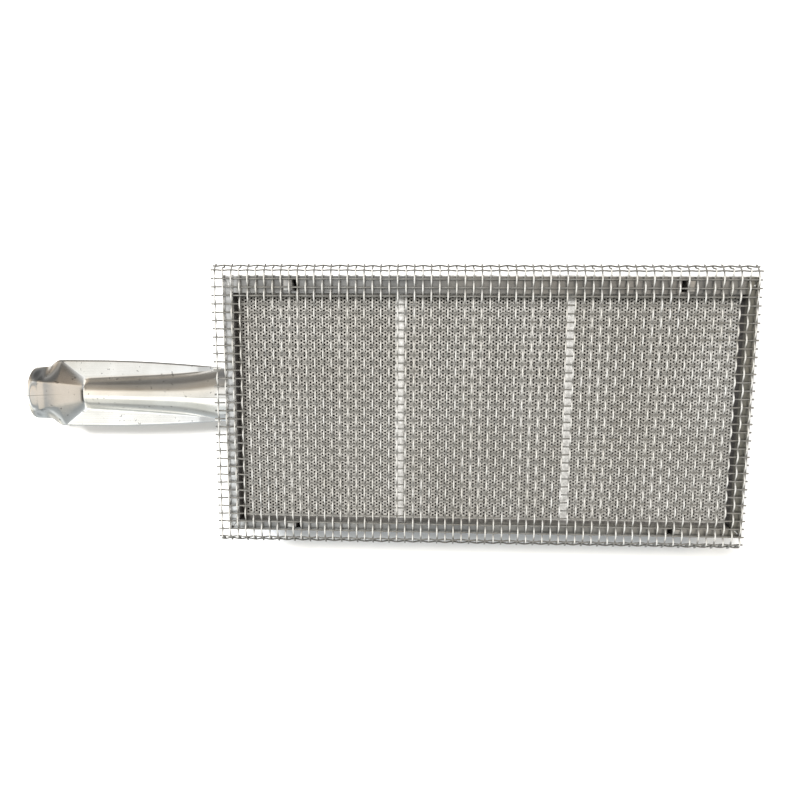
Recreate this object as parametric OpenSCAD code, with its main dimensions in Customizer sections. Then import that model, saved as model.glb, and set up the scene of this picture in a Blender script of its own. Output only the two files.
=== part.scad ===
// Infrared gas burner: perforated ceramic tiles in a sheet-steel housing, with a pinched venturi tube
// and a woven wire screen over the radiant face.
// Millimetres. X runs along the burner, away from the inlet. Z points out of the radiant face.
// The origin is at the middle of the housing's flat base.

/* [Ceramic tiles] */
// Size of one tile along the burner
tile_l = 92; // [60:1:120]
// Size of one tile across the burner
tile_w = 132; // [90:1:180]
// Thickness of a tile
tile_t = 13; // [10:0.5:16]
// Width of the joint between two tiles
joint_w = 4; // [2:0.5:6]

/* [Packing] */
// Packed gap between the tiles and each end wall
end_gap = 2.3; // [1.5:0.1:5]
// Packed gap between the tiles and the front wall
front_gap = 3.3; // [2.5:0.1:8]
// Packed gap between the tiles and the back wall
back_gap = 7.3; // [4:0.1:10]
// Clearance round a piece of packing
pack_play = 0.1; // [0.05:0.05:0.3]
// How far the joint strips stand proud of the tiles
strip_proud = 0.3; // [0:0.1:1]

/* [Sheet metal] */
// Thickness of the folded sheet
sheet = 0.8; // [0.6:0.1:1.2]
// Clearance between steel pieces that slip together
slip = 0.1; // [0.05:0.05:0.3]

/* [Rim] */
// Depth of the tile faces below the rim
recess = 9; // [6:0.5:14]
// Distance from the rim's inner lip to the ends of the tiles
cover_end = 0.8; // [0.2:0.1:3]
// Distance from the rim's inner lip to the front and back of the tiles
cover_side = 0.2; // [0.1:0.1:3]
// Gap between the rim's inner lip and the tile faces
lip_gap = 0.3; // [0.1:0.1:1]
// Height of the rim's outer skirt
skirt_h = 14; // [8:1:18]
// Width of the open mitre seam in each corner
seam_w = 0.4; // [0.3:0.1:0.8]
// Diameter of the corner relief hole
relief_d = 1.6; // [1.2:0.1:2]
// Distance of the relief hole from the outer corner
relief_in = 2.4; // [2:0.1:3]

/* [Tile support] */
// Thickness of the ledge that carries the tiles
ledge_t = 1.2; // [1:0.1:2]
// How far the ledge reaches under the tiles
ledge_in = 5; // [3:0.5:8]
// Width of the bars under the tile joints
bar_w = 12; // [9:0.5:16]
// Depth of the web below each bar
bar_web = 7; // [4:0.5:10]
// Distance of each support rib from the nearest tile joint
rib_out = 60; // [30:1:60]
// Height of a support rib
rib_h = 10; // [6:0.5:12]
// Clearance on each side of a lock tab in its packed gap
tab_play = 0.3; // [0.2:0.1:0.6]
// Length of the bent end of a lock tab
tab_len = 4; // [2:0.5:8]
// Length of the rim slot beside a lock tab
slot_l = 3.4; // [2:0.1:6]

/* [Venturi] */
// Outside diameter of the tube
tube_od = 33.7; // [26:0.1:42]
// Wall of the tube
tube_wall = 1.2; // [0.8:0.1:2]
// Length of tube outside the housing
tube_out = 133.5; // [110:1:180]
// Length of tube inside the housing
tube_in = 12; // [5:1:20]
// Height of the tube above the plane of the base
tube_lift = 4.2; // [3:0.1:20]
// Sideways place of the tube
tube_y = 1; // [-10:0.5:10]
// Clearance between the tube and the tile ledge
tube_head = 1; // [0.5:0.1:5]
// Length of the round inlet before the pinch
inlet_l = 10.5; // [8:0.5:20]
// Length from the end of the inlet to the throat
pinch_l = 22; // [14:1:30]
// Outside diameter of the throat
throat_d = 19; // [16:0.5:22]
// Width across the flattened ears
ear_span = 42; // [36:0.5:60]
// Length of the ears at their full width
ear_flat = 26; // [10:1:40]
// Round length of tube outside the housing, past the ears
neck_l = 14; // [10:1:25]
// Width of the collar plate
collar_w = 64; // [58:1:80]
// Thickness of the collar plate
collar_t = 1.2; // [1:0.1:2]
// Height of the collar's neck round the tube
collar_neck = 6; // [3:0.5:9]

/* [Baffle] */
// Length of the gas baffle
baffle_l = 180; // [100:5:190]
// Width of the gas baffle
baffle_w = 100; // [60:5:120]
// Clear height between the cross bars and the gas baffle
baffle_gap = 7.1; // [5:0.1:9]
// Width of the baffle bracket's flanges
foot_w = 12; // [8:1:16]

/* [Rivets] */
// Diameter of the rivet shanks
rivet_d = 3.2; // [2.4:0.1:4]
// Diameter of the rivet heads
rivet_head = 6; // [5:0.1:7]
// Height of the rivet heads
rivet_head_h = 1; // [0.6:0.1:1.6]

/* [Screen] */
// Diameter of the screen wire
wire_d = 0.9; // [0.6:0.05:1.2]
// Pitch of the screen wires
pitch = 4.6; // [3:0.1:8]
// How much longer than the rim the screen is
over_l = 2.4; // [0:0.1:10]
// How much wider than the rim the screen is
over_w = 5.8; // [2:0.1:12]
// Shift of the screen along the burner
screen_dx = -2.8; // [-4:0.1:4]
// Shift of the screen across the burner
screen_dy = -0.6; // [-1:0.1:1]
// Angle of the bent long edges below the screen
fold_a = 60; // [30:5:80]
// Length of the cut wire ends
stub = 2.1; // [1:0.1:3]

/* [Hidden] */
eps = 0.01;

// Tile pack
pack_l = 3 * tile_l + 2 * joint_w;
tile_pitch = tile_l + joint_w;
pack_y = (front_gap - back_gap) / 2;
pack_front = pack_y - tile_w / 2;
pack_back = pack_y + tile_w / 2;

// Housing and rim outlines
pan_in_l = pack_l + 2 * end_gap;
pan_in_w = tile_w + front_gap + back_gap;
pan_l = pan_in_l + 2 * sheet;
pan_w = pan_in_w + 2 * sheet;
rim_l = pan_l + 2 * slip + 2 * sheet;
rim_w = pan_w + 2 * slip + 2 * sheet;
open_l = pack_l - 2 * (cover_end + sheet);
open_w = tile_w - 2 * (cover_side + sheet);

// Heights
tube_r = tube_od / 2;
tube_z = tube_lift + tube_r;
ledge_z = tube_z + tube_r + tube_head;
tile_z = ledge_z + ledge_t;
face_z = tile_z + tile_t;
rim_z = face_z + recess;
pan_h = rim_z - sheet - slip;

// Support ribs and their lock tabs
rib_x = tile_pitch / 2 + rib_out;
back_tab = [pack_back + tab_play, back_gap - 2 * tab_play];
front_tab = [-pan_in_w / 2 + tab_play, front_gap - 2 * tab_play];
baffle_z = ledge_z - bar_web - baffle_gap - sheet;

// Venturi stations, along X
wall_x = -rim_l / 2;
inlet_x = wall_x - tube_out;
pinch_x = inlet_x + inlet_l;
throat_x = pinch_x + pinch_l;
neck_x = wall_x - neck_l;
tube_end_x = wall_x + tube_in;

// Collar
collar_h = 2 * (tube_z - 2);
rivet_y = collar_w / 2 - 6;
rivet_z = collar_h / 2 - 7;

// Screen
n_warp = floor((rim_l + over_l) / pitch + eps) + 1;
n_weft = floor((rim_w + over_w) / pitch + eps) + 1;
layer = wire_d / 2 + 0.05;
bend_out = wire_d / 3;
screen_z = rim_z + sheet + slip + layer + wire_d / 2;
row_y = (n_weft - 1) / 2 * pitch;
warp_half = (n_warp - 1) / 2 * pitch;

// A block given by its low corner and its size
module block(low, size) {
    translate(low) cube(size);
}

// A block with its middle at x, y and its underside at z
module plate(x, y, z, size) {
    translate([x - size[0] / 2, y - size[1] / 2, z]) cube(size);
}

// A rod along X from x0 to x1
module rod_x(x0, x1, r0, r1, y, z) {
    translate([x0, y, z]) rotate([0, 90, 0]) cylinder(h = x1 - x0, r1 = r0, r2 = r1, $fn = 64);
}

// The space that the uprights of one rib and their rim slots take, from z0 to z1
module tab_space(sx, z0, z1, grow) {
    x0 = sx > 0 ? rib_x - slot_l : -rib_x;
    for (tab = [back_tab, front_tab])
        block([x0 - grow, tab[0] - grow, z0], [slot_l + 2 * grow, tab[1] + 2 * grow, z1 - z0]);
}

// Housing and rim

module housing_pan() {
    color("silver") difference() {
        plate(0, 0, 0, [pan_l, pan_w, pan_h]);
        plate(0, 0, sheet, [pan_in_l, pan_in_w, pan_h]);
        rod_x(wall_x - 1, wall_x + 5, tube_r + slip, tube_r + slip, tube_y, tube_z);
        for (sy = [-1, 1], sz = [-1, 1])
            rod_x(wall_x - 1, wall_x + 5, rivet_d / 2, rivet_d / 2,
                tube_y + sy * rivet_y, tube_z + sz * rivet_z);
    }
}

// Open mitre seam with its two relief holes, between an outer corner and an opening corner
module mitre(sx, sy) {
    outer = [sx * rim_l / 2, sy * rim_w / 2];
    inner = [sx * open_l / 2, pack_y + sy * open_w / 2];
    run = inner - outer;
    dir = run / norm(run);
    hole = outer + relief_in * dir;
    mid = outer + 2.4 * relief_in * dir;
    z0 = rim_z - sheet - eps;
    translate([hole[0], hole[1], z0]) cylinder(h = sheet + 2 * eps, d = relief_d, $fn = 32);
    translate([mid[0], mid[1], z0]) cylinder(h = sheet + 2 * eps, d = relief_d * 0.7, $fn = 32);
    translate([hole[0], hole[1], z0]) rotate([0, 0, atan2(dir[1], dir[0])])
        translate([0, -seam_w / 2, 0]) cube([norm(run) - relief_in + sheet, seam_w, sheet + 2 * eps]);
}

module rim_frame() {
    lip_h = recess - lip_gap;
    color("lightslategray") difference() {
        union() {
            difference() {
                plate(0, 0, rim_z - skirt_h, [rim_l, rim_w, skirt_h]);
                plate(0, 0, rim_z - skirt_h - 1, [rim_l - 2 * sheet, rim_w - 2 * sheet, skirt_h + 1 - sheet]);
            }
            plate(0, pack_y, rim_z - lip_h, [open_l + 2 * sheet, open_w + 2 * sheet, lip_h]);
        }
        plate(0, pack_y, rim_z - skirt_h - 1, [open_l, open_w, skirt_h + 2]);
        for (sx = [-1, 1], sy = [-1, 1]) mitre(sx, sy);
        for (sx = [-1, 1]) tab_space(sx, rim_z - sheet - eps, rim_z + eps, slip);
    }
}

// Ceramic tiles, joint strips and packing

module tile(n) {
    color("tan") plate(n * tile_pitch, pack_y, tile_z, [tile_l, tile_w, tile_t]);
}
module tile_left() { tile(-1); }
module tile_middle() { tile(0); }
module tile_right() { tile(1); }

module joint_strip(side) {
    color("white") plate(side * tile_pitch / 2, pack_y, tile_z,
        [joint_w - 2 * pack_play, tile_w, tile_t + strip_proud]);
}
module joint_strip_left() { joint_strip(-1); }
module joint_strip_right() { joint_strip(1); }

pack_h = rim_z - sheet - tile_z - pack_play;

module end_gasket(sx) {
    t = end_gap - 2 * pack_play;
    color("whitesmoke") plate(sx * (pack_l + end_gap) / 2, 0, tile_z, [t, pan_in_w - 2 * pack_play, pack_h]);
}
module gasket_left() { end_gasket(-1); }
module gasket_right() { end_gasket(1); }

// A long gasket from y0 to y1, notched round the ribs' uprights and open below the rim's slots
module side_gasket(y0, y1) {
    color("whitesmoke") difference() {
        block([-pack_l / 2, y0 + pack_play, tile_z], [pack_l, y1 - y0 - 2 * pack_play, pack_h]);
        for (sx = [-1, 1]) tab_space(sx, tile_z - 1, rim_z + 1, 2 * slip);
    }
}
module gasket_front() { side_gasket(-pan_in_w / 2, pack_front); }
module gasket_back() { side_gasket(pack_back, pan_in_w / 2); }

// Tile support

module tile_ledge() {
    color("gray") difference() {
        plate(0, 0, ledge_z, [pan_in_l - 2 * slip, pan_in_w - 2 * slip, ledge_t]);
        plate(0, pack_y, ledge_z - 1, [pack_l - 2 * ledge_in, tile_w - 2 * ledge_in, ledge_t + 2]);
        for (sx = [-1, 1]) tab_space(sx, ledge_z - 1, tile_z + 1, slip);
    }
}

// Tee bar under a tile joint: a flange level with the ledge and a web below it
module cross_bar(side) {
    x = side * tile_pitch / 2;
    span = tile_w - 2 * ledge_in - 2 * slip;
    color("gray") union() {
        plate(x, pack_y, ledge_z, [bar_w, span, ledge_t]);
        plate(x, pack_y, ledge_z - bar_web, [ledge_t, span, bar_web + eps]);
    }
}
module cross_bar_left() { cross_bar(-1); }
module cross_bar_right() { cross_bar(1); }

// Rib on edge under the ledge, with an upright at each end whose tip is bent over the rim
module support_rib(sx) {
    x0 = sx > 0 ? rib_x - sheet : -rib_x;
    tip_x = sx > 0 ? rib_x - sheet : -rib_x - tab_len;
    span = pan_in_w - 2 * slip;
    color("dimgray") union() {
        block([x0, -span / 2, ledge_z - rib_h], [sheet, span, rib_h]);
        for (tab = [back_tab, front_tab]) {
            block([x0, tab[0], ledge_z - eps], [sheet, tab[1], rim_z + sheet - ledge_z + eps]);
            block([tip_x, tab[0], rim_z], [tab_len + sheet, tab[1], sheet]);
        }
    }
}
module support_rib_left() { support_rib(-1); }
module support_rib_right() { support_rib(1); }

// Gas baffle on two brackets

bracket_x = baffle_l / 2 - 20;
bracket_w = baffle_w - 20;
baffle_rivet_y = bracket_w / 2 - 12;

module baffle_holes(x, z0, h) {
    for (sy = [-1, 1])
        translate([x, tube_y + sy * baffle_rivet_y, z0]) cylinder(h = h, d = rivet_d, $fn = 32);
}

module gas_baffle() {
    color("slategray") difference() {
        plate(0, tube_y, baffle_z, [baffle_l, baffle_w, sheet]);
        for (sx = [-1, 1]) baffle_holes(sx * bracket_x, baffle_z - 1, sheet + 2);
    }
}

// Bracket of Z section: a foot on the base, a web and a flange under the baffle
module baffle_bracket(sx) {
    web_x = sx * (bracket_x - foot_w / 2 + sheet / 2);
    color("gray") difference() {
        union() {
            plate(sx * bracket_x, tube_y, baffle_z - sheet, [foot_w, bracket_w, sheet]);
            plate(web_x, tube_y, sheet, [sheet, bracket_w, baffle_z - sheet]);
            plate(sx * (bracket_x - foot_w + sheet), tube_y, sheet, [foot_w, bracket_w, sheet]);
        }
        baffle_holes(sx * bracket_x, baffle_z - sheet - 1, sheet + 2);
    }
}
module baffle_bracket_left() { baffle_bracket(-1); }
module baffle_bracket_right() { baffle_bracket(1); }

// Rivet along +Z: shank through a grip, with a head at each end
module rivet(grip) {
    translate([0, 0, -eps]) cylinder(h = grip + 2 * eps, d = rivet_d - slip, $fn = 32);
    translate([0, 0, grip]) cylinder(h = rivet_head_h, d1 = rivet_head, d2 = rivet_head * 0.6, $fn = 32);
    translate([0, 0, -rivet_head_h]) cylinder(h = rivet_head_h, d = rivet_head * 0.8, $fn = 32);
}

module baffle_rivets() {
    color("lightgray") for (sx = [-1, 1], sy = [-1, 1])
        translate([sx * bracket_x, tube_y + sy * baffle_rivet_y, baffle_z - sheet]) rivet(2 * sheet);
}

// Venturi: one tube, round at the inlet and at the housing, pinched between

module ears() {
    half = ear_span / 2;
    root = tube_r - tube_wall / 2;
    side = [
        [pinch_x, root], [pinch_x + 5, half], [pinch_x + 5 + ear_flat, half], [neck_x, root]
    ];
    mirrored = [for (i = [3:-1:0]) [side[i][0], -side[i][1]]];
    translate([0, tube_y, tube_z - tube_wall]) linear_extrude(2 * tube_wall) polygon(concat(side, mirrored));
}

// The channel through the tube, or with grow the outside of its round parts
module channel(grow, over) {
    r = tube_r - tube_wall + grow;
    t = throat_d / 2 - tube_wall + grow;
    rod_x(inlet_x - over, pinch_x, r, r, tube_y, tube_z);
    rod_x(pinch_x, throat_x, r, t, tube_y, tube_z);
    rod_x(throat_x, neck_x, t, r, tube_y, tube_z);
    rod_x(neck_x, tube_end_x + over, r, r, tube_y, tube_z);
}

module venturi_tube() {
    color("gainsboro") difference() {
        union() {
            channel(tube_wall, 0);
            ears();
        }
        channel(0, 1);
    }
}

collar_x = -pan_l / 2 - collar_t;

module venturi_collar() {
    hole_r = tube_r + slip;
    color("silver") difference() {
        union() {
            block([collar_x, tube_y - collar_w / 2, tube_z - collar_h / 2], [collar_t, collar_w, collar_h]);
            rod_x(collar_x - collar_neck, collar_x + eps, hole_r + collar_t, hole_r + collar_t,
                tube_y, tube_z);
        }
        rod_x(collar_x - collar_neck - 1, collar_x + collar_t + 1, hole_r, hole_r, tube_y, tube_z);
        for (sy = [-1, 1], sz = [-1, 1])
            rod_x(collar_x - 1, collar_x + collar_t + 1, rivet_d / 2, rivet_d / 2,
                tube_y + sy * rivet_y, tube_z + sz * rivet_z);
    }
}

module collar_rivets() {
    color("lightgray") for (sy = [-1, 1], sz = [-1, 1])
        translate([collar_x + collar_t + sheet, tube_y + sy * rivet_y, tube_z + sz * rivet_z])
            rotate([0, -90, 0]) rivet(collar_t + sheet);
}

// Woven screen: the warp runs across the burner, the weft runs along it

// One warp wire, with both ends bent down past the outer rows. It is a strip as deep as the wire,
// and as narrow as gives it the round wire's weight.
module warp_wire(x) {
    half = wire_d / 2;
    strip_w = wire_d * PI / 4;
    lean = half * tan(fold_a / 2);
    elbow = row_y + bend_out + layer * tan(fold_a / 2);
    leg = pitch + stub / 2;
    out = leg * cos(fold_a);
    down = leg * sin(fold_a);
    right = [
        [elbow + lean, half], [elbow + lean + out, half - down],
        [elbow - lean + out, -half - down], [elbow - lean, -half]
    ];
    left = [for (i = [3:-1:0]) [-right[i][0], right[i][1]]];
    translate([x - strip_w / 2, screen_dy, screen_z + layer])
        rotate([90, 0, 90]) linear_extrude(strip_w) polygon(concat(right, left));
}

module screen_warp() {
    color("lightsteelblue") for (i = [0:n_warp - 1]) warp_wire(screen_dx + i * pitch - warp_half);
}

module weft_wire(y, z) {
    translate([screen_dx - warp_half - stub, y, z]) rotate([0, 90, 0])
        cylinder(h = 2 * (warp_half + stub), d = wire_d, $fn = 24);
}

module screen_weft() {
    edge_y = row_y + bend_out + pitch * cos(fold_a) - layer * sin(fold_a);
    edge_z = screen_z - pitch * sin(fold_a) - layer * cos(fold_a);
    color("lightsteelblue") {
        for (j = [0:n_weft - 1]) weft_wire(screen_dy + j * pitch - row_y, screen_z - layer);
        for (s = [-1, 1]) weft_wire(screen_dy + s * edge_y, edge_z);
    }
}

housing_pan();
rim_frame();
tile_left();
tile_middle();
tile_right();
joint_strip_left();
joint_strip_right();
gasket_left();
gasket_right();
gasket_front();
gasket_back();
tile_ledge();
cross_bar_left();
cross_bar_right();
support_rib_left();
support_rib_right();
gas_baffle();
baffle_bracket_left();
baffle_bracket_right();
baffle_rivets();
venturi_tube();
venturi_collar();
collar_rivets();
screen_warp();
screen_weft();
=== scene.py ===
"""Looks of an infrared gas burner: perforated ceramic tiles in a steel housing, a woven wire screen
and a polished venturi tube pinched flat at its throat. Lengths are in metres."""

import math

import bmesh
import bpy
from mathutils import Matrix, Vector, noise


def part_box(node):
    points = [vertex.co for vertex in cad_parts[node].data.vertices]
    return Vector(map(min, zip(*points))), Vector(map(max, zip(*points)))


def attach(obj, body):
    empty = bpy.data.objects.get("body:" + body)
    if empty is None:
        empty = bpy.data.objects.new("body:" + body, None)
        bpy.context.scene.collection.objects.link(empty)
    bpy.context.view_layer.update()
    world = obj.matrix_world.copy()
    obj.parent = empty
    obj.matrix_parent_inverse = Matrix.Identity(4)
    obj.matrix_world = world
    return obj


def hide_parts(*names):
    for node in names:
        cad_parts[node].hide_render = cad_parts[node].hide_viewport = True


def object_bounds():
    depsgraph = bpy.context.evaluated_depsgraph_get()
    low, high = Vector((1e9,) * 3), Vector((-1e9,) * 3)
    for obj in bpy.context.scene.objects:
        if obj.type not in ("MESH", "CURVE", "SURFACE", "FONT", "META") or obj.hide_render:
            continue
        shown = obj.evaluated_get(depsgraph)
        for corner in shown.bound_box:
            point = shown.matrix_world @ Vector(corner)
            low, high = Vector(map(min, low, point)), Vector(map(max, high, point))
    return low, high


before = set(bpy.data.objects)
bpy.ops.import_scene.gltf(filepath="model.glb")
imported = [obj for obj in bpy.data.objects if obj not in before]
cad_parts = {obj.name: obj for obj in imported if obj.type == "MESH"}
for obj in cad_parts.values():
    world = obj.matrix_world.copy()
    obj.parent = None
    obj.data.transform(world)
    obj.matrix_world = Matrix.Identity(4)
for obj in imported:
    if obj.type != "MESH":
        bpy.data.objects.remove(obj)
cad_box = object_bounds()
MM = 0.001

# ---------------------------------------------------------------- places taken from the frame

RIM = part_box("rim_frame")
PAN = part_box("housing_pan")
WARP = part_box("screen_warp")
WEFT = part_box("screen_weft")
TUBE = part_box("venturi_tube")
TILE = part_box("tile_middle")


def middle(box):
    return (box[0] + box[1]) / 2


# ---------------------------------------------------------------- helpers for pieces


def new_piece(name, mesh, material, slot, *stands_for):
    """Links a finished mesh as a piece of the burner."""
    piece = bpy.data.objects.new(name, mesh)
    bpy.context.scene.collection.objects.link(piece)
    mesh.materials.clear()
    mesh.materials.append(material)
    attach(piece, "root")
    if stands_for:
        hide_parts(*stands_for)
    return piece


def mesh_from(bm, name, smooth_angle=35):
    """Turns a bmesh into a mesh, smooth except across edges sharper than the angle."""
    limit = math.radians(smooth_angle)
    for face in bm.faces:
        face.smooth = True
    for edge in bm.edges:
        edge.smooth = not edge.is_manifold or edge.calc_face_angle(0) < limit
    mesh = bpy.data.meshes.new(name)
    bm.to_mesh(mesh)
    bm.free()
    return mesh


def baked(obj):
    """The mesh of an object with its modifiers or bevel applied, after which the object is removed."""
    bpy.context.view_layer.update()
    graph = bpy.context.evaluated_depsgraph_get()
    mesh = bpy.data.meshes.new_from_object(obj.evaluated_get(graph))
    bpy.data.objects.remove(obj)
    return mesh


def cad_copy(node):
    """A welded copy of a CAD node with its flat faces made whole."""
    bm = bmesh.new()
    bm.from_mesh(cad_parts[node].data)
    bmesh.ops.remove_doubles(bm, verts=bm.verts, dist=1e-6)
    bmesh.ops.dissolve_limit(
        bm, angle_limit=math.radians(1), verts=bm.verts, edges=bm.edges
    )
    return bm


def bent_sheet(name, node, material, slot, radius, pick):
    """A sheet-metal piece: the CAD shape with the picked edges rounded as a press bends them."""
    bm = cad_copy(node)
    edges = [e for e in bm.edges if e.is_manifold and e.calc_face_angle(0) > 1 and pick(e)]
    bmesh.ops.bevel(
        bm, geom=edges, offset=radius, segments=3, profile=0.5,
        affect="EDGES", material=-1, clamp_overlap=True,
    )
    return new_piece(name, mesh_from(bm, name), material, slot, node)


# ---------------------------------------------------------------- materials


class Finish:
    """A node material, built step by step on object coordinates."""

    def __init__(self, name, metallic=0.0, rough=0.5):
        self.material = bpy.data.materials.new(name)
        self.material.use_nodes = True
        self.tree = self.material.node_tree
        self.shader = self.tree.nodes["Principled BSDF"]
        self.shader.inputs["Metallic"].default_value = metallic
        self.shader.inputs["Roughness"].default_value = rough
        self.coords = self.node("ShaderNodeTexCoord").outputs["Object"]

    def node(self, kind, **values):
        made = self.tree.nodes.new(kind)
        for key, value in values.items():
            setattr(made, key, value)
        return made

    def link(self, source, target):
        self.tree.links.new(source, target)

    def stretched(self, scale, turn=(0, 0, 0)):
        """Object coordinates scaled by a factor along each axis."""
        mapping = self.node("ShaderNodeMapping")
        mapping.inputs["Scale"].default_value = scale
        mapping.inputs["Rotation"].default_value = turn
        self.link(self.coords, mapping.inputs["Vector"])
        return mapping.outputs["Vector"]

    def noise(self, scale, detail=4, rough=0.55, where=None):
        made = self.node("ShaderNodeTexNoise")
        made.inputs["Scale"].default_value = scale
        made.inputs["Detail"].default_value = detail
        made.inputs["Roughness"].default_value = rough
        self.link(where or self.coords, made.inputs["Vector"])
        return made.outputs["Fac"]

    def ramp(self, fac, *stops):
        """A colour ramp through (position, colour or grey) stops."""
        made = self.node("ShaderNodeValToRGB")
        elements = made.color_ramp.elements
        while len(elements) < len(stops):
            elements.new(0.5)
        for element, (place, tone) in zip(elements, stops):
            element.position = place
            colour = tone if isinstance(tone, tuple) else (tone,) * 3
            element.color = (*colour, 1)
        self.link(fac, made.inputs["Fac"])
        return made.outputs["Color"]

    def axis(self, name):
        """One object coordinate: X, Y or Z."""
        split = self.node("ShaderNodeSeparateXYZ")
        self.link(self.coords, split.inputs[0])
        return split.outputs[name]

    def math(self, operation, a, b=0.0):
        made = self.node("ShaderNodeMath", operation=operation)
        for socket, value in zip(made.inputs, (a, b)):
            if isinstance(value, (int, float)):
                socket.default_value = value
            else:
                self.link(value, socket)
        return made.outputs[0]

    def between(self, value, low, high):
        """0 at low, 1 at high, clamped."""
        made = self.node("ShaderNodeMapRange")
        made.inputs["From Min"].default_value = low
        made.inputs["From Max"].default_value = high
        self.link(value, made.inputs["Value"])
        return made.outputs["Result"]

    def times(self, first, *others):
        """The product of several values."""
        for other in others:
            first = self.math("MULTIPLY", first, other)
        return first

    def off(self, axis, place=0.0):
        """Distance from a place along an axis, to either side."""
        return self.math("ABSOLUTE", self.math("SUBTRACT", self.axis(axis), place))

    def mix(self, fac, a, b, blend="MIX"):
        made = self.node("ShaderNodeMix", data_type="RGBA", blend_type=blend)
        for index, value in ((0, fac), (6, a), (7, b)):
            socket = made.inputs[index]
            if isinstance(value, (int, float)):
                socket.default_value = value if index == 0 else (value,) * 3 + (1,)
            elif isinstance(value, tuple):
                socket.default_value = (*value, 1)
            else:
                self.link(value, socket)
        return made.outputs[2]

    def colour(self, source):
        self.link(source, self.shader.inputs["Base Color"])

    def rough(self, source):
        self.link(source, self.shader.inputs["Roughness"])

    def bump(self, height, distance, strength):
        made = self.node("ShaderNodeBump")
        made.inputs["Distance"].default_value = distance
        made.inputs["Strength"].default_value = strength
        self.link(height, made.inputs["Height"])
        self.link(made.outputs["Normal"], self.shader.inputs["Normal"])


def steel_tone(f, dark, light, grain):
    """Colour of mill-finish sheet: rolling grain, cloudy stains and scuffs."""
    tone = f.ramp(f.noise(24, 5, 0.6), (0.3, dark), (0.7, light))
    streaks = f.ramp(grain, (0.3, 0.84), (0.7, 1.0))
    scuffs = f.ramp(f.noise(420, 6, 0.7), (0.35, 0.8), (0.6, 1.0))
    return f.mix(0.7, f.mix(1.0, tone, streaks, "MULTIPLY"), scuffs, "MULTIPLY")


def sheet_steel(name, dark, light, rough_low, rough_high):
    f = Finish(name, metallic=1.0)
    grain = f.noise(1.0, 3, 0.5, f.stretched((40, 900, 900)))
    f.colour(steel_tone(f, dark, light, grain))
    f.rough(f.ramp(f.noise(55, 4), (0.3, rough_low), (0.7, rough_high)))
    f.bump(grain, 0.00004, 0.5)
    return f.material


# The rim's lips border the opening over the tiles.
LIP_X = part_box("tile_right")[1].x
LIP_HALF_Y = (TILE[1].y - TILE[0].y) / 2 - 1 * MM
LIP_FADE = (2 * MM, 1 * MM)
# Depths below the rim's top over which the lips' inner walls are painted dark, as painted shade.
LIP_SHADE_DEPTH = (0.3 * MM, 1.6 * MM)
RIGHT_DEEPER = 2.4 * MM
MIDDLE_FADE = 10 * MM
END_BAND = (8.5 * MM, 6.5 * MM)
# Band and depth of the painted highlight along the rim's long outer bends.
BEND_HIGHLIGHT_BAND = (0.85 * MM, 0.45 * MM)
BEND_HIGHLIGHT_DEPTH = (0.9 * MM, 0.4 * MM)


def rim_steel():
    """The rim: dull sheet, straw-tinted in places. Its end at the tube is painted pale and mottled as
    painted light, its other end dark olive as painted shade;
    its long outer bends carry a painted highlight, and its lips' inner walls are painted dark as shade
    beside the tiles."""
    f = Finish("rim_steel_finish", metallic=1.0)
    grain = f.noise(1.0, 3, 0.5, f.stretched((60, 700, 900)))
    plain = steel_tone(f, (0.36, 0.36, 0.355), (0.52, 0.52, 0.515), grain)
    straw = f.ramp(f.noise(11, 3), (0.45, 0.0), (0.75, 0.5))
    tone = f.mix(straw, plain, (0.52, 0.485, 0.42))
    top = RIM[1].z
    x_in, y_in = (
        f.between(distance, reach + LIP_FADE[0], reach + LIP_FADE[1])
        for distance, reach in ((f.off("X"), LIP_X), (f.off("Y", middle(TILE).y), LIP_HALF_Y))
    )
    raised = f.math("ADD", f.axis("Z"), f.times(f.between(f.axis("X"), 0, MIDDLE_FADE), RIGHT_DEEPER))
    lips = f.times(x_in, y_in, f.between(raised, top - LIP_SHADE_DEPTH[0], top - LIP_SHADE_DEPTH[1]))
    at_ends = f.between(f.off("X"), LIP_X - 4 * MM, LIP_X - 1 * MM)
    # Painted shade: the lips' inner walls are painted dark, darker at the two ends.
    lip_shade = f.times(lips, f.math("ADD", 0.5, f.times(at_ends, 0.45)))
    # Painted highlight: a pale, less metallic band along the long outer bends.
    bend = f.between(f.off("Y"), RIM[1].y - BEND_HIGHLIGHT_BAND[0], RIM[1].y - BEND_HIGHLIGHT_BAND[1])
    on_top = f.between(f.axis("Z"), top - BEND_HIGHLIGHT_DEPTH[0], top - BEND_HIGHLIGHT_DEPTH[1])
    bend_highlight = f.times(bend, on_top, f.ramp(f.noise(200, 4), (0.35, 0.5), (0.55, 1.0)))
    f.link(f.math("SUBTRACT", 1.0, f.times(bend_highlight, 0.7)), f.shader.inputs["Metallic"])
    # Painted shade on the right end, dark olive, and painted light on the left end, pale and mottled.
    right = f.between(f.axis("X"), RIM[1].x - END_BAND[0], RIM[1].x - END_BAND[1])
    tone = f.mix(f.times(right, 0.9), tone, (0.27, 0.268, 0.24))
    left = f.between(f.axis("X"), RIM[0].x + END_BAND[0], RIM[0].x + END_BAND[1])
    lit_left_end = f.ramp(f.noise(260, 5, 0.65), (0.3, (0.58, 0.58, 0.575)), (0.6, (0.9, 0.905, 0.91)))
    with_bend_highlight = f.mix(bend_highlight, f.mix(left, tone, lit_left_end), (0.8, 0.8, 0.79))
    f.colour(f.mix(lip_shade, with_bend_highlight, (0.12, 0.115, 0.124)))
    f.rough(f.ramp(f.noise(70, 5), (0.3, 0.3), (0.7, 0.5)))
    f.bump(f.mix(0.4, grain, f.noise(300, 4)), 0.00008, 0.5)
    return f.material


# Heights on the wire from the painted shade in its dips to the painted highlight on its crests.
WIRE_SUNK, WIRE_PROUD = 1.75 * MM, 0.25 * MM


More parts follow.
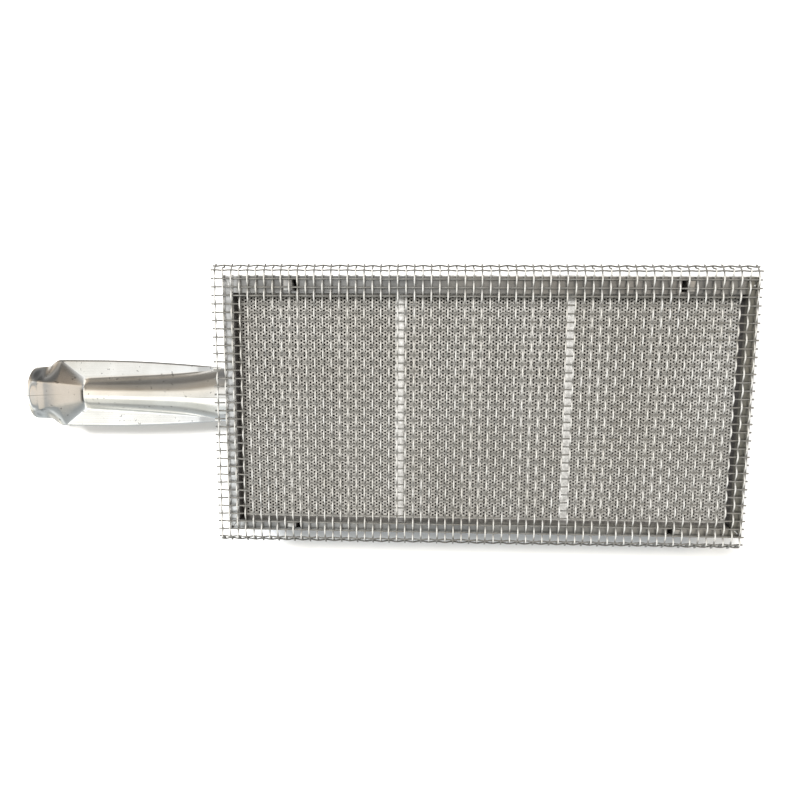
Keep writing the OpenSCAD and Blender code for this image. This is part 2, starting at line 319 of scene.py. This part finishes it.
def screen_wire_steel(name, dip_shade_tone, crest_highlight_tone, metallic):
    """Drawn wire with painted shade where it dips into the weave and a painted highlight where it stands
    proud.
    """
    f = Finish(name, metallic=metallic)
    # Painted shade low in the weave, painted highlight on the crests.
    height = f.between(f.axis("Z"), WARP[1].z - WIRE_SUNK, WARP[1].z - WIRE_PROUD)
    tone = f.ramp(height, (0.4, dip_shade_tone), (0.85, crest_highlight_tone))
    patches = f.ramp(f.noise(35, 3), (0.35, (0.86, 0.84, 0.8)), (0.7, (1, 1, 1)))
    specks = f.ramp(f.noise(1800, 4, 0.7), (0.35, 0.7), (0.55, 1.0))
    f.colour(f.mix(1.0, f.mix(1.0, tone, patches, "MULTIPLY"), specks, "MULTIPLY"))
    f.rough(f.ramp(f.noise(400, 3), (0.3, 0.32), (0.7, 0.46)))
    f.bump(f.noise(2500, 3), 0.00002, 0.4)
    return f.material


def ceramic():
    """Matt ceramic: warm grey and grainy, with painted shade darkening it into the holes."""
    f = Finish("tile_ceramic", rough=0.92)
    clouds = f.noise(14, 4, 0.6)
    body = f.ramp(clouds, (0.3, (0.385, 0.37, 0.34)), (0.7, (0.51, 0.5, 0.475)))
    grain = f.ramp(f.noise(1400, 5, 0.7), (0.32, 0.52), (0.68, 1.26))
    face = f.mix(1.0, body, grain, "MULTIPLY")
    # Painted shade: the holes turn near black below the face.
    hole_shade = f.between(f.axis("Z"), TILE[1].z - 0.15 * MM, TILE[1].z - 0.9 * MM)
    f.colour(f.mix(hole_shade, face, (0.07, 0.066, 0.06)))
    f.bump(f.noise(2200, 4, 0.7), 0.00006, 0.6)
    return f.material


def fibre():
    """White ceramic-fibre felt."""
    f = Finish("fibre_felt", rough=0.95)
    tufts = f.noise(700, 6, 0.7)
    f.colour(f.ramp(tufts, (0.3, (0.4, 0.395, 0.375)), (0.6, (0.68, 0.675, 0.66))))
    fine = f.noise(4000, 3, 0.6, f.stretched((1, 0.3, 1)))
    f.bump(f.mix(0.5, tufts, fine), 0.0002, 0.8)
    f.shader.inputs["Sheen Weight"].default_value = 0.3
    return f.material


# Places along the tube, from its inlet: the middle of the stretch where the seam is dressed away, and the
# painted shade in the throat's notch, which is a little off the middle line.
SEAM_GONE_S = 58 * MM
SEAM_FADE = (38 * MM, 52 * MM)
SEAM_HALF = (0.28 * MM, 0.1 * MM)
NOTCH_SHADE_S = 31.2 * MM
NOTCH_SHADE_OFF = 1.2 * MM


def polished_stainless():
    """Polished tube: faint draw lines, small pits, painted shade as a dark patch in the throat's notch and
    a weld seam at its two ends.
    """
    f = Finish("polished_stainless", metallic=1.0)
    axis = middle(TUBE)
    lines = f.noise(1.0, 2, 0.5, f.stretched((30, 1200, 1200)))
    clouds = f.ramp(f.noise(45, 4), (0.35, (0.8, 0.785, 0.755)), (0.65, (0.92, 0.91, 0.895)))
    pits = f.ramp(f.noise(420, 2, 0.4), (0.25, 0.5), (0.31, 1.0))
    pitted = f.mix(1.0, clouds, pits, "MULTIPLY")
    top = f.between(f.axis("Z"), axis.z, axis.z + 4 * MM)
    line = f.between(f.off("Y", axis.y), *SEAM_HALF)
    ends = f.between(f.off("X", TUBE[0].x + SEAM_GONE_S), *SEAM_FADE)
    # Painted shade in the throat's notch: a dark patch on the upper side.
    at_throat = f.between(f.off("X", TUBE[0].x + NOTCH_SHADE_S), 2.4 * MM, 1.2 * MM)
    near_middle = f.between(f.off("Y", axis.y - NOTCH_SHADE_OFF), 5 * MM, 3 * MM)
    notch_shaded = f.mix(f.times(at_throat, near_middle, top), pitted, (0.09, 0.082, 0.07))
    f.colour(f.mix(f.times(line, ends, top, 0.7), notch_shaded, (0.36, 0.34, 0.31)))
    f.rough(f.ramp(f.noise(80, 4), (0.3, 0.1), (0.7, 0.22)))
    f.bump(f.mix(0.25, lines, f.noise(120, 3)), 0.00009, 0.35)
    return f.material


STEEL_RIM = rim_steel()
STEEL_TAB = sheet_steel("tab_steel_finish", (0.55, 0.54, 0.52), (0.72, 0.715, 0.7), 0.25, 0.4)
STEEL_PAN = sheet_steel("housing_steel_finish", (0.42, 0.42, 0.41), (0.55, 0.55, 0.55), 0.3, 0.45)
STEEL_INNER = sheet_steel("inner_steel_finish", (0.36, 0.36, 0.35), (0.46, 0.46, 0.46), 0.4, 0.6)
STEEL_RIVET = sheet_steel("rivet_finish", (0.5, 0.5, 0.49), (0.62, 0.62, 0.62), 0.3, 0.45)
WARP_WIRE = screen_wire_steel("warp_wire_steel", (0.34, 0.34, 0.33), (0.82, 0.82, 0.81), 0.52)
# The weft is the same wire as the warp, painted darker as painted shade.
WEFT_WIRE = screen_wire_steel("weft_wire_steel", (0.27, 0.27, 0.26), (0.4, 0.395, 0.38), 0.72)
CERAMIC = ceramic()
FELT = fibre()
STAINLESS = polished_stainless()

# ---------------------------------------------------------------- woven screen

WIRE_R = 0.45 * MM
PITCH = 4.6 * MM
WARP_CRIMP = 0.64 * MM
WEFT_CRIMP = 0.31 * MM
WANDER = 0.16 * MM
BEND_R = 1.6 * MM
FOLD = math.radians(60)
WARP_PAST = 0.8 * MM
WEFT_PAST = 1.9 * MM
STEPS = 4
N_WARP, N_WEFT = 65, 34
screen_mid = Vector((middle(WEFT).x, middle(WEFT).y, WARP[1].z - WARP_CRIMP - WIRE_R))
half_x = (N_WARP - 1) / 2 * PITCH
half_y = (N_WEFT - 1) / 2 * PITCH
fold_start = half_y + 0.3 * MM


def screen_surface(v):
    """Middle surface of the screen at the distance v from its middle line, with its normal, in Y, Z."""
    side = math.copysign(1, v)
    past = abs(v) - (fold_start - BEND_R * math.tan(FOLD / 2))
    if past <= 0:
        return v, 0.0, 0.0, 1.0
    turn = min(past / BEND_R, FOLD)
    run = max(past - BEND_R * FOLD, 0)
    y = abs(v) - past + BEND_R * math.sin(turn) + run * math.cos(FOLD)
    z = -BEND_R * (1 - math.cos(turn)) - run * math.sin(FOLD)
    return side * y, z, side * math.sin(turn), math.cos(turn)


def woven_point(x, v, lift):
    """A point at x, v on the screen, lifted along the local normal, with a slight wander."""
    y, z, ny, nz = screen_surface(v)
    wander = WANDER * noise.noise(Vector((x * 60, v * 60, 3.0)))
    return (
        screen_mid.x + x + wander,
        screen_mid.y + y + lift * ny + wander,
        screen_mid.z + z + lift * nz,
    )


def wires(name, runs, material, node):
    """Round wires along the given runs of points, as one piece."""
    curve = bpy.data.curves.new(name, "CURVE")
    curve.dimensions = "3D"
    curve.bevel_depth = WIRE_R
    curve.bevel_resolution = 2
    curve.use_fill_caps = True
    for points in runs:
        spline = curve.splines.new("POLY")
        spline.points.add(len(points) - 1)
        for target, place in zip(spline.points, points):
            target.co = (*place, 1)
    holder = bpy.data.objects.new(name + "_path", curve)
    bpy.context.scene.collection.objects.link(holder)
    mesh = baked(holder)
    mesh.name = name
    for face in mesh.polygons:
        face.use_smooth = True
    return new_piece(name, mesh, material, "screen_wire", node)


def warp_run(i):
    """The points of warp wire i, over and under the weft rows and down past the folds."""
    x = i * PITCH - half_x
    reach = fold_start + PITCH + WARP_PAST
    count = round(2 * reach / PITCH * STEPS)
    points = []
    for k in range(count + 1):
        v = -reach + 2 * reach * k / count
        wave = math.cos(math.pi * (v + half_y) / PITCH)
        points.append(woven_point(x, v, WARP_CRIMP * wave * (-1) ** i))
    return points


def weft_run(j):
    """The points of weft wire j. Rows -1 and N_WEFT run along the folded edges."""
    edge = fold_start + PITCH - 0.1 * MM
    v = -edge if j < 0 else edge if j == N_WEFT else j * PITCH - half_y
    reach = half_x + WEFT_PAST
    count = round(2 * reach / PITCH * STEPS)
    points = []
    for k in range(count + 1):
        x = -reach + 2 * reach * k / count
        wave = math.cos(math.pi * (x + half_x) / PITCH)
        points.append(woven_point(x, v, -WEFT_CRIMP * wave * (-1) ** j))
    return points


wires("screen_warp_wires", [warp_run(i) for i in range(N_WARP)], WARP_WIRE, "screen_warp")
wires("screen_weft_wires", [weft_run(j) for j in range(-1, N_WEFT + 1)], WEFT_WIRE, "screen_weft")

# ---------------------------------------------------------------- perforated tiles

HOLE_PITCH = 1.915 * MM
HOLE_R = 0.6 * MM
HOLE_DEPTH = 2.6 * MM
PLAIN_MARGIN = (0.05 * MM, 1.6 * MM)
CELL_R = HOLE_PITCH / math.sqrt(3)
TURN_30 = Matrix.Rotation(math.pi / 6, 3, "Z")


def honeycomb(size):
    """A flat sheet of six-sided cells, a little larger than size, centred on the origin."""
    bm = bmesh.new()
    for column in (0, 1):
        ring = bmesh.ops.create_circle(bm, segments=6, radius=CELL_R, cap_ends=True)["verts"]
        bmesh.ops.rotate(bm, verts=ring, matrix=TURN_30)
        place = (column * 1.5 * CELL_R, column * HOLE_PITCH / 2, 0)
        bmesh.ops.translate(bm, verts=ring, vec=place)
    mesh = bpy.data.meshes.new("cells")
    bm.to_mesh(mesh)
    bm.free()
    holder = bpy.data.objects.new("cells", mesh)
    bpy.context.scene.collection.objects.link(holder)
    steps = ((3 * CELL_R, 0, 0), (0, HOLE_PITCH, 0))
    counts = [math.ceil(size[axis] / steps[axis][axis]) + 2 for axis in (0, 1)]
    for step, count in zip(steps, counts):
        array = holder.modifiers.new("array", "ARRAY")
        array.use_relative_offset = False
        array.use_constant_offset = True
        array.constant_offset_displace = step
        array.count = count
    cells = bmesh.new()
    cells.from_mesh(baked(holder))
    bmesh.ops.remove_doubles(cells, verts=cells.verts, dist=HOLE_PITCH * 0.02)
    shift = [-steps[axis][axis] * (counts[axis] - 1) / 2 for axis in (0, 1)]
    bmesh.ops.translate(cells, verts=cells.verts, vec=(*shift, 0))
    return cells


def tile_mesh(size):
    """One tile, centred in X and Y, with its face at z = 0 and blind round holes in it."""
    bm = honeycomb(size)
    for axis in (0, 1):
        for side in (-1, 1):
            normal = Vector((0, 0, 0))
            normal[axis] = side
            bmesh.ops.bisect_plane(
                bm, geom=bm.verts[:] + bm.edges[:] + bm.faces[:], dist=1e-7,
                plane_co=normal * size[axis] / 2, plane_no=normal, clear_outer=True,
            )
    inside = [size[axis] / 2 - PLAIN_MARGIN[axis] for axis in (0, 1)]
    holes = [
        f for f in bm.faces
        if all(abs(v.co[axis]) < inside[axis] for v in f.verts for axis in (0, 1))
    ]
    rim = [e for e in bm.edges if e.is_boundary]
    bmesh.ops.inset_individual(
        bm, faces=holes, thickness=(CELL_R - HOLE_R) * math.cos(math.pi / 6), use_even_offset=True
    )
    bmesh.ops.bisect_edges(bm, edges=list({e for f in holes for e in f.edges}), cuts=1)
    for face in holes:
        centre = face.calc_center_median()
        for vert in face.verts:
            vert.co = centre + (vert.co - centre).normalized() * HOLE_R
    floors = bmesh.ops.extrude_discrete_faces(bm, faces=holes)["faces"]
    deep = list({v for f in floors for v in f.verts})
    bmesh.ops.translate(bm, verts=deep, vec=(0, 0, -HOLE_DEPTH))
    walls = bmesh.ops.extrude_edge_only(bm, edges=rim)["geom"]
    low = [g for g in walls if isinstance(g, bmesh.types.BMVert)]
    bmesh.ops.translate(bm, verts=low, vec=(0, 0, -size[2]))
    bmesh.ops.holes_fill(bm, edges=[e for e in bm.edges if e.is_boundary], sides=0)
    bmesh.ops.recalc_face_normals(bm, faces=bm.faces)
    return mesh_from(bm, "tile", 50)


def place_tiles():
    size = TILE[1] - TILE[0]
    first = tile_mesh(size)
    for name in ("left", "middle", "right"):
        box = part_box("tile_" + name)
        mesh = first.copy()
        where = middle(box)
        where.z = box[1].z
        for vert in mesh.vertices:
            vert.co += where
        new_piece(f"perforated_tile_{name}", mesh, CERAMIC, "ceramic_tile", "tile_" + name)


place_tiles()


# ---------------------------------------------------------------- fibre strips between the tiles


NECK_DEPTH = 0.05 * MM
FELT_CUTS = ((1, 150), (0, 5))


def felt_strip(name, node, seed):
    """A strip of fibre felt between two tiles, lumpy and smeared a little over their edges."""
    low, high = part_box(node)
    bm = bmesh.new()
    bmesh.ops.create_cube(bm, size=1)
    bmesh.ops.scale(bm, verts=bm.verts, vec=high - low)
    bmesh.ops.translate(bm, verts=bm.verts, vec=(low + high) / 2)
    geom = bm.verts[:] + bm.edges[:] + bm.faces[:]
    neck = Vector((0, 0, TILE[1].z - NECK_DEPTH))
    bmesh.ops.bisect_plane(bm, geom=geom, dist=1e-7, plane_co=neck, plane_no=(0, 0, 1))
    for axis, cuts in FELT_CUTS:
        along = [e for e in bm.edges if abs((e.verts[0].co - e.verts[1].co)[axis]) > 1e-6]
        bmesh.ops.subdivide_edges(bm, edges=along, cuts=cuts, use_grid_fill=True)
    centre = (low.x + high.x) / 2
    for vert in bm.verts:
        if vert.co.z > high.z - 1e-6:
            off = (vert.co.x - centre) / (high.x - low.x) * 2
            lump = noise.noise(Vector((vert.co.x * 420, vert.co.y * 330, seed)))
            ragged = noise.noise(Vector((off * 3, vert.co.y * 260, seed + 4)))
            vert.co.x += off * (0.55 + 0.45 * ragged) * MM
            vert.co.z += (0.12 - 0.42 * abs(off) ** 4 + 0.3 * lump) * MM
    return new_piece(name, mesh_from(bm, name, 60), FELT, "ceramic_fibre", node)


felt_strip("felt_strip_left", "joint_strip_left", 1.0)
felt_strip("felt_strip_right", "joint_strip_right", 7.0)

# ---------------------------------------------------------------- folded steel


def on_outline(edge, box, reach=0.2 * MM):
    """True where an edge lies on the outer faces of a box, seen from above."""
    def out(co):
        return min(co.x - box[0].x, box[1].x - co.x, co.y - box[0].y, box[1].y - co.y) < reach
    return all(out(v.co) for v in edge.verts)


def rim_bend(edge):
    top = RIM[1].z
    level = all(v.co.z > top - 0.05 * MM for v in edge.verts)
    return level and edge.calc_length() > 3 * MM or level and on_outline(edge, RIM)


def pan_bend(edge):
    low = all(v.co.z < PAN[0].z + 0.05 * MM for v in edge.verts)
    upright = abs((edge.verts[0].co - edge.verts[1].co).z) > 20 * MM
    return on_outline(edge, PAN) and (low or upright)


bent_sheet("rim", "rim_frame", STEEL_RIM, "rim_steel", 0.75 * MM, rim_bend)
bent_sheet("housing", "housing_pan", STEEL_PAN, "housing_steel", 1.2 * MM, pan_bend)


def tab_bend(edge):
    return all(v.co.z > RIM[1].z - 0.05 * MM for v in edge.verts)


for side in ("left", "right"):
    bent_sheet(f"lock_rib_{side}", f"support_rib_{side}", STEEL_TAB, "rim_steel", 0.25 * MM, tab_bend)

# ---------------------------------------------------------------- venturi tube

WALL = 1.2 * MM
TUBE_R = (TUBE[1].z - TUBE[0].z) / 2
EAR_HALF = (TUBE[1].y - TUBE[0].y) / 2
tube_mid = middle(TUBE)
inlet_x = TUBE[0].x
INLET_L = 10.5 * MM
THROAT_S = 32.5 * MM
NECK_S = 119.5 * MM
THROAT_R = 9.6 * MM
NOTCH_R = 2.6 * MM
CHANNEL_HALF = 9.2 * MM
CHANNEL_OPENS = 4.6 * MM
CHANNEL_START_S = 17 * MM
EAR_FULL_S = 41 * MM
EAR_TURN = math.radians(14)
MOUTH_DRAWN_IN = 0.7 * MM
FLAT_MOUTH, FLAT_THROAT = 9.7 * MM, 4.2 * MM
FILLET = 2.9 * MM
LEAN = 2.4 * MM
AROUND, ALONG = 176, 180


def ease(value, start, end):
    """0 at start, 1 at end, smooth between."""
    t = min(max((value - start) / (end - start), 0), 1)
    return t * t * (3 - 2 * t)


def ramp_up(value, start, end):
    """0 at start, 1 at end, straight between."""
    return min(max((value - start) / (end - start), 0), 1)


def tube_section(s):
    """The section at the distance s from the inlet: its half width, the height of its crest, half the
    thickness of its ears and half the width of its channel."""
    round_r = TUBE_R - MOUTH_DRAWN_IN * (1 - ramp_up(s, 0, INLET_L * 0.8))
    spread = ease(s, INLET_L - 3 * MM, INLET_L + 5 * MM) * (1 - ramp_up(s, EAR_FULL_S, NECK_S) ** 1.8)
    width = round_r + (EAR_HALF - round_r) * spread
    funnel = round_r + (NOTCH_R - round_r) * ramp_up(s, 2 * MM, THROAT_S - 1 * MM) ** 1.05
    cone = THROAT_R + (TUBE_R - THROAT_R) * ramp_up(s, THROAT_S, NECK_S) ** 0.9
    step = ease(s, THROAT_S - 1.4 * MM, THROAT_S + 1.4 * MM)
    crest = funnel * (1 - step) + cone * step
    opened = ramp_up(s, THROAT_S, NECK_S)
    narrow = CHANNEL_HALF + CHANNEL_OPENS * opened
    narrow += (TUBE_R - CHANNEL_HALF - CHANNEL_OPENS) * opened**6
    channel = narrow + (EAR_HALF - narrow) * (1 - ramp_up(s, CHANNEL_START_S, THROAT_S))
    return width, crest, WALL * min(spread * 3, 1), min(channel, width)


def even_turn(turn, split):
    """Moves a turn round the tube so that two fifths of the points lie on the ears."""
    half_turns, rest = divmod(turn, math.pi)
    mirrored = rest > math.pi / 2
    share = (math.pi - rest if mirrored else rest) / (math.pi / 2)
    if share < 0.4:
        moved = split * share / 0.4
    else:
        moved = split + (math.pi / 2 - split) * (share - 0.4) / 0.6
    return half_turns * math.pi + (math.pi - moved if mirrored else moved)


def tube_point(s, turn):
    """A point on the outside of the tube, at the distance s from the inlet and turned round it."""
    width, crest, ear, reach = tube_section(s)
    pinched = ease(width - crest, 0.2 * MM, 5 * MM)
    turn = even_turn(turn, max(math.acos(min(reach / width, 1)), EAR_TURN))
    across = abs(width * math.cos(turn))
    side = 1 if turn < math.pi else -1
    arch = max(1 - (across / reach) ** 2, 0) ** (0.5 + 0.14 * pinched)
    flat = FLAT_MOUTH + (FLAT_THROAT - FLAT_MOUTH) * ramp_up(s, 2 * MM, THROAT_S)
    lowered = 1 - 0.07 * (1 - ease(s, 4 * MM, 18 * MM))
    facets = min(max(reach - across, 0) / (reach - flat), 1) * lowered
    faceted = ease(s, 0, 7 * MM) * (1 - ease(s, THROAT_S - 2 * MM, THROAT_S + 3 * MM))
    arch = crest * (arch + (facets - arch) * faceted * 0.85)
    past_tip = max(across - (width - ear), 0)
    tip = ear * math.sqrt(max(1 - past_tip**2 / ear**2, 0)) if ear else 0
    soft = FILLET * pinched * (tip / ear if ear else 0)
    height = (arch + tip + math.hypot(arch - tip, soft) - soft * 0.3) / 2
    lean = LEAN * max(side * height / TUBE_R, 0) * (1 - ramp_up(s, 0, INLET_L))
    return Vector((inlet_x + s + lean, tube_mid.y + width * math.cos(turn), tube_mid.z + side * height))


def venturi():
    bm = bmesh.new()
    bmesh.ops.create_grid(bm, x_segments=ALONG, y_segments=AROUND, size=1)
    length = TUBE[1].x - inlet_x
    for vert in bm.verts:
        s = (vert.co.x + 1) / 2 * length
        vert.co = tube_point(s, math.pi * (vert.co.y + 1))
    bmesh.ops.remove_doubles(bm, verts=bm.verts, dist=0.01 * MM)
    bmesh.ops.recalc_face_normals(bm, faces=bm.faces)
    bmesh.ops.solidify(bm, geom=bm.faces[:], thickness=WALL * 0.8)
    return new_piece(
        "pinched_venturi", mesh_from(bm, "pinched_venturi", 60), STAINLESS, "venturi_steel", "venturi_tube"
    )


venturi()

# ---------------------------------------------------------------- pieces that keep their CAD shape

for node, material in {
    "gasket_left": FELT, "gasket_right": FELT, "gasket_front": FELT, "gasket_back": FELT,
    "tile_ledge": STEEL_INNER, "cross_bar_left": STEEL_INNER, "cross_bar_right": STEEL_INNER,
    "gas_baffle": STEEL_INNER, "baffle_bracket_left": STEEL_INNER, "baffle_bracket_right": STEEL_INNER,
    "baffle_rivets": STEEL_RIVET, "venturi_collar": STEEL_PAN, "collar_rivets": STEEL_RIVET,
}.items():
    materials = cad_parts[node].data.materials
    materials.clear()
    materials.append(material)

# ---------------------------------------------------------------- floor, light and camera


TABLE_SHADOW_GREY = (0.47, 0.5, 0.54)
SHADOW_SHARE = 0.85
SHADOW_FRONT = (36 * MM, 24 * MM)
SHADOW_RIGHT = (34 * MM, 18 * MM)
SHADOW_SIDES = (12 * MM, -6 * MM)


def floor():
    """A white table with a painted shadow: its finish is greyer in front of the housing and to its right,
    in place of a shadow that the lights don't cast."""
    bm = bmesh.new()
    bmesh.ops.create_grid(bm, x_segments=1, y_segments=1, size=3)
    bmesh.ops.translate(bm, verts=bm.verts, vec=(0, 0, cad_box[0].z - 0.1 * MM))
    mesh = bpy.data.meshes.new("floor")
    bm.to_mesh(mesh)
    bm.free()
    obj = bpy.data.objects.new("floor", mesh)
    bpy.context.scene.collection.objects.link(obj)
    f = Finish("white_table", rough=0.6)
    white = f.ramp(f.noise(9, 2), (0.3, 0.93), (0.7, 0.95))
    # Painted shadow in front of the housing and to its right.
    front = f.times(
        f.between(f.axis("Y"), PAN[0].y - SHADOW_FRONT[0], PAN[0].y - SHADOW_FRONT[1]),
        f.between(f.axis("Y"), MIDDLE_FADE, 0),
        f.between(f.off("X"), PAN[1].x + SHADOW_SIDES[0], PAN[1].x + SHADOW_SIDES[1]),
    )
    right = f.times(
        f.between(f.axis("X"), PAN[1].x + SHADOW_RIGHT[0], PAN[1].x + SHADOW_RIGHT[1]),
        f.between(f.axis("X"), 0, MIDDLE_FADE),
        f.between(f.off("Y"), PAN[1].y + SHADOW_SIDES[0], PAN[1].y + SHADOW_SIDES[1]),
    )
    f.colour(f.mix(f.times(f.math("MAXIMUM", front, right), SHADOW_SHARE), white, TABLE_SHADOW_GREY))
    mesh.materials.append(f.material)
    obj.visible_glossy = False


def area_light(name, place, target, size, power, tint):
    """A soft rectangular light of the given width and height, aimed at a target."""
    data = bpy.data.lights.new(name, "AREA")
    data.shape = "RECTANGLE"
    data.size, data.size_y = size
    data.energy = power
    data.color = tint
    lamp = bpy.data.objects.new(name, data)
    lamp.location = place
    lamp.rotation_euler = (Vector(target) - Vector(place)).to_track_quat("-Z", "Y").to_euler()
    bpy.context.scene.collection.objects.link(lamp)
    return lamp


class Room:
    """The world: a room that is bright and cream to the left, grey above and beige to the right."""

    def __init__(self):
        self.world = bpy.data.worlds.new("room")
        self.world.use_nodes = True
        bpy.context.scene.world = self.world
        self.tree = self.world.node_tree
        self.direction = self.tree.nodes.new("ShaderNodeTexCoord").outputs["Generated"]

    def towards(self, way):
        """Cosine of the angle from a way."""
        dot = self.tree.nodes.new("ShaderNodeVectorMath")
        dot.operation = "DOT_PRODUCT"
        dot.inputs[1].default_value = Vector(way).normalized()
        self.tree.links.new(self.direction, dot.inputs[0])
        return dot.outputs["Value"]

    def ramp(self, value, low, high, *stops):
        """Colours through (place, colour) stops, for values from low to high."""
        scale = self.tree.nodes.new("ShaderNodeMapRange")
        scale.inputs["From Min"].default_value = low
        scale.inputs["From Max"].default_value = high
        self.tree.links.new(value, scale.inputs["Value"])
        made = self.tree.nodes.new("ShaderNodeValToRGB")
        elements = made.color_ramp.elements
        while len(elements) < len(stops):
            elements.new(0.5)
        for element, (place, tone) in zip(elements, stops):
            element.position = (place - low) / (high - low)
            element.color = (*tone, 1)
        self.tree.links.new(scale.outputs["Result"], made.inputs["Fac"])
        return made.outputs["Color"]

    def blend(self, kind, a, b):
        made = self.tree.nodes.new("ShaderNodeMix")
        made.data_type = "RGBA"
        made.blend_type = kind
        made.inputs[0].default_value = 1.0
        self.tree.links.new(a, made.inputs[6])
        self.tree.links.new(b, made.inputs[7])
        return made.outputs[2]

    def use(self, colour, strength):
        background = self.tree.nodes["Background"]
        self.tree.links.new(colour, background.inputs["Color"])
        background.inputs["Strength"].default_value = strength


# Colours of the room, each at the cosine of the angle from the way that studio() gives it.
WALLS = (
    (-0.95, (1.35, 1.32, 1.25)), (-0.64, (1.45, 1.32, 1.14)), (-0.5, (0.93, 0.9, 0.82)),
    (-0.28, (1.15, 1.14, 1.11)), (-0.1, (0.55, 0.55, 0.54)), (0.14, (0.43, 0.43, 0.42)),
    (0.32, (0.92, 0.81, 0.68)), (0.9, (0.75, 0.72, 0.67)),
)
ENDS = (
    (-0.95, (0.75, 0.8, 0.83)), (-0.35, (0.8, 0.86, 0.91)), (-0.05, (0.95, 0.97, 1)),
    (0.42, (1, 1, 1)), (0.64, (0.38, 0.355, 0.33)), (0.9, (0.3, 0.3, 0.3)),
)
BELOW = ((-0.6, (0.7, 0.72, 0.75)), (-0.02, (0.55, 0.55, 0.56)), (0.1, (1, 1, 1)), (0.9, (1, 1, 1)))
LAMP = ((0.93, (0, 0, 0)), (0.955, (0.15, 0.15, 0.14)), (0.98, (0.7, 0.69, 0.66)))
LAMP_WAY = (-0.44, -0.42, 0.79)
WINDOW_PLACE, WINDOW_SIZE, WINDOW_POWER = (-0.7, 0.87, 1.8), (0.5, 0.5), 70


def studio():
    room = Room()
    walls, ends, below, lamp = (
        room.ramp(room.towards(way), -1, 1, *stops)
        for way, stops in (((1, 0, 0), WALLS), ((0, 1, 0), ENDS), ((0, 0, 1), BELOW), (LAMP_WAY, LAMP))
    )
    shell = room.blend("MULTIPLY", room.blend("MULTIPLY", walls, ends), below)
    room.use(room.blend("ADD", shell, lamp), 1.0)
    window = area_light("window", WINDOW_PLACE, (0, 0, 0), WINDOW_SIZE, WINDOW_POWER, (1.0, 0.99, 0.975))
    window.visible_glossy = False


CAMERA_PLACE = (-0.03323, 0.05243, 0.42327)
CAMERA_TURN = (-7.63, 2.27, 0.26)
LENS = 29.25


def camera():
    data = bpy.data.cameras.new("camera")
    data.sensor_width = 36
    data.lens = LENS
    cam = bpy.data.objects.new("camera", data)
    cam.location = CAMERA_PLACE
    cam.rotation_euler = [math.radians(turn) for turn in CAMERA_TURN]
    bpy.context.scene.collection.objects.link(cam)
    bpy.context.scene.camera = cam


floor()
studio()
camera()
bpy.context.scene.view_settings.view_transform = "Standard"
